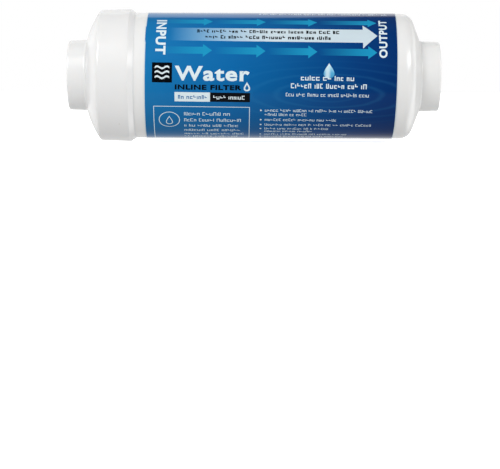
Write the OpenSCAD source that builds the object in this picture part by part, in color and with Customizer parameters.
// Inline water filter: a sealed cartridge that is plumbed into a cold-water line.
// The axis lies along X. Water enters the welded cap at -X and leaves at +X.
// The label's front faces -Y, and the origin is on the axis, half way between the port faces.
// All sizes are in millimetres.

/* [Housing] */
// Overall length between the two port faces
overall_len = 177.8; // [177.5:0.1:180]
// Outer diameter of the housing tube
body_od = 60; // [59.6:0.1:60.6]
// Largest outer diameter of the welded inlet cap
cap_od = 63.5; // [63:0.1:65]
// Wall thickness of the tube and of both domes
wall = 3; // [2.9:0.05:3.1]
// Length of the cap's skirt between its front and rear corners
skirt_len = 13.5; // [13:0.1:14]
// Radius of the cap's domed face, in section
dome_radius = 44; // [42:0.5:48]
// Corner radius of the outlet shoulder
shoulder_radius = 6.3; // [6:0.1:6.6]
// Lean of the outlet's conical face from a flat one, in degrees
shoulder_lean = 21; // [20:0.5:22]

/* [Ports] */
// Outer diameter of the port collars at their roots
collar_od = 33.8; // [33:0.1:35]
// Draft of the collars, taken off their radius at the port face
collar_draft = 0.3; // [0.1:0.05:0.5]
// Minor diameter of the female pipe thread
thread_minor = 11.2; // [11:0.1:11.4]
// Thread pitch: 18 threads to the inch
thread_pitch = 1.411; // [1.3:0.001:1.45]
// Length of the threaded bore
thread_len = 15; // [14.5:0.1:15.2]
// Depth of the moulded pockets around the port boss
pocket_depth = 7.4; // [5:0.1:7.6]
// Number of ribs that tie the port boss to its collar
rib_count = 8; // [4:1:10]

/* [Label] */
// Length of the printed label along the tube
label_len = 117.4; // [100:0.1:122]
// Gap between the cap's skirt and the label
label_gap = 5.8; // [2:0.1:8]
// Thickness of the label film
label_thick = 0.15; // [0.1:0.01:0.2]

/* [Carbon stage] */
// Outer diameter of the carbon block
block_od = 44; // [42:0.5:44]
// Diameter of the block's central hole
block_id = 16; // [15.5:0.5:17]
// Length of the carbon block
block_len = 66; // [60:0.5:66]
// Thickness of the sediment fleece around the block
fleece_thick = 1.2; // [0.8:0.1:1.2]
// Thickness of the plastic net over the fleece
net_thick = 0.7; // [0.5:0.1:0.8]

/* [Membrane stage] */
// Outer diameter of the membrane module's tube
module_od = 49; // [48.5:0.1:49.2]
// Outer diameter of one hollow fibre
fibre_od = 2; // [1.6:0.1:2.4]
// Distance between neighbouring fibres
fibre_pitch = 3.4; // [3.2:0.1:4]
// Straight length of each fibre, from the potting's inner face to its bend
fibre_leg = 18; // [12:0.5:18]
// Thickness of the resin potting
potting_len = 8; // [7:0.5:8]

/* [Stack spring] */
// Diameter of the spring wire
wire_d = 1.5; // [1.2:0.1:1.6]
// Mean diameter of the coils
coil_d = 24.8; // [24.4:0.1:26]
// Working coils between the two closed end coils
coil_turns = 2.5; // [1.5:0.5:3]

/* [Hidden] */
$fn = 96;

eps = 0.01;
half_len = overall_len / 2;
body_r = body_od / 2;
inner_r = body_r - wall;
cap_r = cap_od / 2;
bore_r = thread_minor / 2;

// Stations along the axis for the cap and the tube.
cap_collar_len = 8.6;
cap_front = -half_len + 16.2;
cap_rear = cap_front + skirt_len;
cap_end = cap_rear + 2.5;
tube_end = half_len - 18.7;
skirt_draft = 0.45;

// The cap is spin-welded over a thinner spigot at the end of the tube.
spigot_r = body_r - 0.9;
spigot_tip = cap_end - 9.3;
weld_gap = 0.5;

// Port bosses: the outer one stands in the pockets, the inner one stands inside the housing.
port_boss_r = 10.2;
inner_boss_r = 9;
pocket_r = 14;
rib_thick = 1.8;
rib_setback = 0.6;
mouth_chamfer = 0.9;
boss_end = half_len - thread_len;
groove_depth = 0.6;
groove_half = 0.22;
first_groove = 1.2;

// Centre of the cap's dome arc, from its two end points and its radius.
dome_start = [collar_od / 2, cap_collar_len - half_len];
dome_finish = [cap_r - skirt_draft, cap_front];
dome_chord = dome_finish - dome_start;
dome_offset = sqrt(pow(dome_radius, 2) - pow(norm(dome_chord) / 2, 2));
dome_inward = [-dome_chord[1], dome_chord[0]] / norm(dome_chord);
dome_centre = (dome_start + dome_finish) / 2 + dome_offset * dome_inward;
web_x = cap_collar_len - half_len + 2.8;

// Carbon stage, from the spring's seat to the spigot.
cap_plate = 2.5;
glue_thick = 0.8;
cap_skirt = 5;
sleeve_r = block_od / 2 + fleece_thick;
end_cap_r = sleeve_r + 1.4;
skirt_inner_r = sleeve_r + net_thick / 2;
block_x0 = boss_end * -1 + 12.7;
block_x1 = block_x0 + block_len;
inlet_plate_x = block_x0 - glue_thick - cap_plate;
outlet_plate_x = block_x1 + glue_thick;
fin_r = inner_r - 0.2;
fin_count = 6;
fin_setback = 0.5;
liner_wall = 0.8;
stub_r = 7;
stub_len = 9;
stub_bore = 4.5;
stub_groove_x = outlet_plate_x + cap_plate + 5.3;

// Membrane stage, from the module's socket to the outlet boss.
module_r = module_od / 2;
shell_wall = 2;
socket_r = stub_r + 0.25;
socket_x = outlet_plate_x + cap_plate + 1.5;
header_x = socket_x + 5.4;
shell_x0 = header_x + 3;
potting_x1 = boss_end - 5.9;
potting_x0 = potting_x1 - potting_len;
flange_x0 = potting_x0 - 5;
flange_r = inner_r - 0.15;
flange_grooves = [potting_x0 - 1, potting_x0 + 4];
seal_d = 1.6;
field_r = module_r - shell_wall - fibre_od / 2 - 0.6;
lumen_r = fibre_od * 0.3;
pad_thick = 1.5;

// Stack spring, between the cap's web and the carbon block's closed end cap.
spring_x0 = web_x + wire_d / 2;
spring_x1 = inlet_plate_x - wire_d / 2;
closed_pitch = wire_d * 1.05;
wire_sides = 8;
rings_per_turn = 24;

function unit(v) = v / norm(v);

// Points of an arc in a turned profile, where 0 degrees points outwards and 90 along the axis.
function arc_points(x, r, radius, from, to, steps) =
    [for (i = [0:steps]) let (a = from + (to - from) * i / steps) [r + radius * cos(a), x + radius * sin(a)]];

// Tangent arc that replaces the corner p between its neighbours a and b.
function rounded_corner(a, p, b, radius, steps = 4) =
    let (
        u = unit(a - p),
        v = unit(b - p),
        half_angle = acos(u * v) / 2,
        centre = p + unit(u + v) * radius / sin(half_angle),
        from = p + u * radius / tan(half_angle) - centre,
        to = p + v * radius / tan(half_angle) - centre
    )
    [for (i = [0:steps]) centre + radius * unit(from * (1 - i / steps) + to * i / steps)];

function flat_point(p) = [p[0], p[1]];

// A turned profile of [radius, x] points, where a third number rounds that corner.
function rounded_profile(path) = [
    for (i = [0:len(path) - 1])
        let (n = len(path), p = path[i])
        each (
            len(p) < 3
                ? [p]
                : rounded_corner(
                    flat_point(path[(i + n - 1) % n]), flat_point(p), flat_point(path[(i + 1) % n]), p[2]
                )
        )
];

function dome_x(r, radius) = dome_centre[1] - sqrt(pow(radius, 2) - pow(r - dome_centre[0], 2));
function dome_points(from, to, radius, steps) =
    [for (i = [0:steps]) let (r = from + (to - from) * i / steps) [r, dome_x(r, radius)]];

function shoulder_points(radius) =
    arc_points(tube_end, body_r - shoulder_radius, radius, 0, 90 - shoulder_lean, 10);
function cone_x(r, radius) =
    let (tip = shoulder_points(radius)[10]) tip[1] + (tip[0] - r) * tan(shoulder_lean);

function reversed(list) = [for (i = [len(list) - 1:-1:0]) list[i]];

// Turns a [radius, x] profile about the X axis.
module turned(profile) {
    rotate([0, 90, 0]) rotate_extrude() polygon(profile);
}

module tube(r_out, r_in, x0, x1) {
    turned([[r_in, x0], [r_out, x0], [r_out, x1], [r_in, x1]]);
}

module disc(r, x0, x1) {
    translate([x0, 0, 0]) rotate([0, 90, 0]) cylinder(r = r, h = x1 - x0);
}

module o_ring(x, r_mid, section_d) {
    translate([x, 0, 0]) rotate([0, 90, 0]) rotate_extrude() translate([r_mid, 0]) circle(d = section_d);
}

// Radial plates of one thickness, evenly spaced about the axis.
module radial_plates(count, r_in, r_out, x0, x1, thick) {
    for (i = [0:count - 1])
        rotate([i * 360 / count, 0, 0])
            translate([x0, -thick / 2, r_in]) cube([x1 - x0, thick, r_out - r_in]);
}

// Everything cut from the +X port: thread grooves, pockets and the setback of the ribs.
module port_cuts() {
    groove_count = floor((thread_len - first_groove - thread_pitch) / thread_pitch);
    air = groove_half * 0.5 / groove_depth;
    for (i = [0:groove_count])
        let (x = half_len - first_groove - thread_pitch * (i + 0.5))
        turned([
            [bore_r - 0.5, x - groove_half - air], [bore_r + groove_depth, x - 0.04],
            [bore_r + groove_depth, x + 0.04], [bore_r - 0.5, x + groove_half + air]
        ]);
    tube(pocket_r, port_boss_r, half_len - rib_setback, half_len + 1);
    difference() {
        tube(pocket_r, port_boss_r, half_len - pocket_depth, half_len - rib_setback + eps);
        radial_plates(
            rib_count, port_boss_r - 1, pocket_r + 1, half_len - pocket_depth - 1, half_len, rib_thick
        );
    }
}

module housing_body() {
    collar_x = cone_x(collar_od / 2, shoulder_radius);
    inside_r = shoulder_radius - wall;
    outline = concat(
        [[inner_r, spigot_tip], [spigot_r, spigot_tip, 0.4], [spigot_r, cap_end], [body_r, cap_end]],
        shoulder_points(shoulder_radius),
        [
            [collar_od / 2, collar_x, 1.2],
            [collar_od / 2 - collar_draft, half_len, 0.7],
            [bore_r + mouth_chamfer, half_len],
            [bore_r, half_len - mouth_chamfer],
            [bore_r, boss_end],
            [inner_boss_r, boss_end],
            [inner_boss_r, cone_x(inner_boss_r, inside_r)]
        ],
        reversed(shoulder_points(inside_r))
    );
    color("#efefee")
        difference() {
            turned(rounded_profile(outline));
            port_cuts();
        }
}

module inlet_cap() {
    web_r = 15.4;
    outline = concat(
        [
            [bore_r, -boss_end],
            [bore_r, mouth_chamfer - half_len],
            [bore_r + mouth_chamfer, -half_len],
            [collar_od / 2 - collar_draft, -half_len, 0.7],
            [collar_od / 2, cap_collar_len - half_len, 1]
        ],
        dome_points(collar_od / 2 + 1.4, cap_r - skirt_draft - 1, dome_radius, 10),
        [
            [cap_r - skirt_draft, cap_front, 0.5],
            [cap_r, cap_rear, 0.5],
            [body_r, cap_end],
            [spigot_r, cap_end],
            [spigot_r, spigot_tip - weld_gap],
            [inner_r, spigot_tip - weld_gap]
        ],
        dome_points(inner_r, web_r, dome_radius - wall, 8),
        [[web_r, web_x], [inner_boss_r, web_x], [inner_boss_r, -boss_end]]
    );
    color("#f1f1f0")
        difference() {
            turned(rounded_profile(outline));
            mirror([1, 0, 0]) port_cuts();
        }
}

module label() {
    x0 = cap_end + label_gap;
    color("#15599c") tube(body_r + label_thick, body_r, x0, x0 + label_len);
}

module inlet_screen() {
    hole_pitch = 2.2;
    rows = 3;
    color("#b9bcc0")
        difference() {
            disc(inner_boss_r - 0.1, -boss_end, -boss_end + 0.6);
            for (row = [-rows:rows], i = [0:2 * rows - abs(row)])
                translate([-boss_end - 1, (i - rows + abs(row) / 2) * hole_pitch, row * hole_pitch * sin(60)])
                    rotate([0, 90, 0]) cylinder(d = 1.2, h = 3);
        }
}

module screen_retainer() {
    lip_r = 7.4;
    outer_r = 10.3;
    screen_x = -boss_end + 0.6;
    color("#e9e9e6")
        turned([
            [inner_boss_r + 0.05, web_x + 0.8], [outer_r, web_x + 0.8], [outer_r, screen_x + 1],
            [lip_r, screen_x + 1], [lip_r, screen_x], [inner_boss_r + 0.05, screen_x]
        ]);
}

// Axial position of the spring wire after a number of turns, counted from the cap's end.
function wire_x(turn) =
    let (
        rise = spring_x1 - spring_x0 - 2 * closed_pitch,
        working = min(max(turn - 1, 0), coil_turns)
    )
    spring_x0 + closed_pitch * (min(turn, 1) + max(turn - 1 - coil_turns, 0)) + rise * working / coil_turns;

module stack_spring() {
    rings = round((coil_turns + 2) * rings_per_turn);
    ring_points = [
        for (i = [0:rings], s = [0:wire_sides - 1])
            let (
                turn = i / rings_per_turn,
                side = s * 360 / wire_sides,
                r = coil_d / 2 + wire_d / 2 * cos(side)
            )
            [wire_x(turn) + wire_d / 2 * sin(side), r * cos(turn * 360), r * sin(turn * 360)]
    ];
    side_faces = [
        for (i = [0:rings - 1], s = [0:wire_sides - 1])
            let (a = i * wire_sides + s, b = i * wire_sides + (s + 1) % wire_sides)
            each [[a, a + wire_sides, b + wire_sides], [a, b + wire_sides, b]]
    ];
    first_face = [for (s = [0:wire_sides - 1]) s];
    last_face = [for (s = [wire_sides - 1:-1:0]) rings * wire_sides + s];
    color("#c4c7cb") polyhedron(points = ring_points, faces = concat(side_faces, [first_face, last_face]));
}

// Fins that hold an end cap on the axis while water passes between them.
module centring_fins(x0, x1) {
    radial_plates(fin_count, end_cap_r - 0.5, fin_r, x0, x1, 1.6);
}

module block_inlet_cap() {
    plate_x1 = inlet_plate_x + cap_plate;
    plug_r = block_id / 2 - 0.1;
    seat_in = 10;
    seat_out = 11.2;
    color("#dfe3e6")
        union() {
            turned([
                [0, inlet_plate_x], [seat_in, inlet_plate_x], [seat_in, inlet_plate_x - 2],
                [seat_out, inlet_plate_x - 2], [seat_out, inlet_plate_x], [end_cap_r, inlet_plate_x],
                [end_cap_r, plate_x1 + cap_skirt], [skirt_inner_r, plate_x1 + cap_skirt],
                [skirt_inner_r, plate_x1], [plug_r, plate_x1], [plug_r, plate_x1 + 3], [0, plate_x1 + 3]
            ]);
            centring_fins(inlet_plate_x + fin_setback, plate_x1 + cap_skirt - fin_setback);
        }
}

module block_outlet_cap() {
    plate_x1 = outlet_plate_x + cap_plate;
    groove_r = socket_r - seal_d;
    groove_half_width = 1.1;
    color("#dfe3e6")
        union() {
            turned([
                [stub_bore, outlet_plate_x], [skirt_inner_r, outlet_plate_x],
                [skirt_inner_r, outlet_plate_x - cap_skirt], [end_cap_r, outlet_plate_x - cap_skirt],
                [end_cap_r, plate_x1], [stub_r, plate_x1], [stub_r, stub_groove_x - groove_half_width],
                [groove_r, stub_groove_x - groove_half_width], [groove_r, stub_groove_x + groove_half_width],
                [stub_r, stub_groove_x + groove_half_width], [stub_r, plate_x1 + stub_len],
                [stub_bore, plate_x1 + stub_len]
            ]);
            centring_fins(outlet_plate_x - cap_skirt + fin_setback, plate_x1 - fin_setback);
        }
}

module glue_bead(x) {
    color("#d8c98e") tube(sleeve_r, block_id / 2, x, x + glue_thick);
}

module inlet_glue_bead() { glue_bead(block_x0 - glue_thick); }

module outlet_glue_bead() { glue_bead(block_x1); }

module carbon_block() {
    color("#26282b") tube(block_od / 2, block_id / 2, block_x0, block_x1);
}

module core_liner() {
    liner_x0 = block_x0 + 3 - glue_thick;
    hole_rows = 9;
    row_pitch = (outlet_plate_x - liner_x0) / (hole_rows + 1);
    color("#e6e8ea")
        difference() {
            tube(block_id / 2, block_id / 2 - liner_wall, liner_x0, outlet_plate_x);
            for (i = [1:hole_rows])
                translate([liner_x0 + i * row_pitch, 0, 0])
                    rotate([i % 2 * 45, 0, 0]) {
                        cylinder(d = 3, h = block_id + 2, center = true);
                        rotate([90, 0, 0]) cylinder(d = 3, h = block_id + 2, center = true);
                    }
        }
}

module sediment_fleece() {
    color("#f4f2ea") tube(sleeve_r, block_od / 2, block_x0, block_x1);
}

module net_sleeve() {
    net_x0 = inlet_plate_x + cap_plate + cap_skirt;
    net_x1 = outlet_plate_x - cap_skirt;
    hoops = 9;
    strands = 16;
    strand = 0.9;
    hoop_pitch = (net_x1 - net_x0 - strand) / hoops;
    color("#d5e4ee")
        union() {
            for (i = [0:hoops])
                tube(sleeve_r + net_thick, sleeve_r, net_x0 + i * hoop_pitch, net_x0 + i * hoop_pitch + strand);
            intersection() {
                tube(sleeve_r + net_thick, sleeve_r, net_x0, net_x1);
                radial_plates(strands, sleeve_r - 1, sleeve_r + 2, net_x0, net_x1, strand);
            }
        }
}

module spigot_o_ring() {
    color("#1f1f1f") o_ring(stub_groove_x, socket_r - seal_d / 2, seal_d);
}

module module_header() {
    shell_inner_r = module_r - shell_wall;
    color("#cfd6dc")
        turned([
            [socket_r, socket_x], [socket_r + 2.5, socket_x], [socket_r + 2.5, header_x],
            [module_r, header_x], [module_r, shell_x0], [shell_inner_r, shell_x0],
            [shell_inner_r, shell_x0 + 2], [socket_r, shell_x0 + 2]
        ]);
}

module module_shell() {
    color("#dfe6ea") tube(module_r, module_r - shell_wall, shell_x0, potting_x0);
}

// Centre lines of the looped fibres: [height of the row, half the width of the loop].
function fibre_loops() = [
    for (row = [-floor(field_r / fibre_pitch):floor(field_r / fibre_pitch)])
        let (
            z = row * fibre_pitch,
            reach = sqrt(pow(field_r, 2) - pow(z, 2)),
            loops = floor((reach - fibre_pitch / 2) / fibre_pitch)
        )
        for (k = [0:loops]) if (loops >= 0) [z, fibre_pitch * (k + 0.5)]
];

module fibre_ring() {
    difference() {
        circle(d = fibre_od);
        circle(r = lumen_r);
    }
}

// One fibre: a half loop inside the module and two legs that run through the potting.
module fibre(z, half_width) {
    translate([potting_x0 - fibre_leg, 0, z])
        rotate([0, 0, 90]) rotate_extrude(angle = 180) translate([half_width, 0]) fibre_ring();
    for (side = [-1, 1])
        translate([potting_x0 - fibre_leg, side * half_width, z])
            rotate([0, 90, 0]) linear_extrude(fibre_leg + potting_len) fibre_ring();
}

module membrane_fibres() {
    color("#f5f6f0") for (loop = fibre_loops()) fibre(loop[0], loop[1]);
}

module fibre_potting() {
    color("#b8a86a")
        difference() {
            disc(module_r - shell_wall, potting_x0, potting_x1);
            for (loop = fibre_loops(), side = [-1, 1])
                translate([potting_x0 - 1, side * loop[1], loop[0]])
                    rotate([0, 90, 0]) cylinder(d = fibre_od, h = potting_len + 2);
        }
}

module potting_flange() {
    shell_inner_r = module_r - shell_wall;
    color("#cfd6dc")
        difference() {
            turned([
                [module_r, flange_x0], [flange_r, flange_x0], [flange_r, potting_x1],
                [shell_inner_r, potting_x1], [shell_inner_r, potting_x0], [module_r, potting_x0]
            ]);
            for (x = flange_grooves) tube(inner_r + 1, inner_r - seal_d, x - 1.1, x + 1.1);
        }
}

module flange_o_rings() {
    color("#1f1f1f") for (x = flange_grooves) o_ring(x, inner_r - seal_d / 2, seal_d);
}

module outlet_support() {
    spokes = 6;
    hub_x1 = boss_end - pad_thick;
    ring_r = 26;
    ring_x1 = tube_end + 2.2;
    color("#cfd6dc")
        union() {
            tube(inner_boss_r + 0.6, 6, potting_x1, hub_x1);
            tube(ring_r, ring_r - 4, potting_x1, ring_x1);
            radial_plates(spokes, inner_boss_r, ring_r - 3, potting_x1, potting_x1 + 3, 2.5);
        }
}

module outlet_pad() {
    color("#f6f6f2") disc(inner_boss_r - 0.1, boss_end - pad_thick, boss_end);
}

housing_body();
inlet_cap();
label();
inlet_screen();
screen_retainer();
stack_spring();
block_inlet_cap();
inlet_glue_bead();
carbon_block();
core_liner();
sediment_fleece();
net_sleeve();
outlet_glue_bead();
block_outlet_cap();
spigot_o_ring();
module_header();
module_shell();
membrane_fibres();
fibre_potting();
potting_flange();
flange_o_rings();
outlet_support();
outlet_pad();
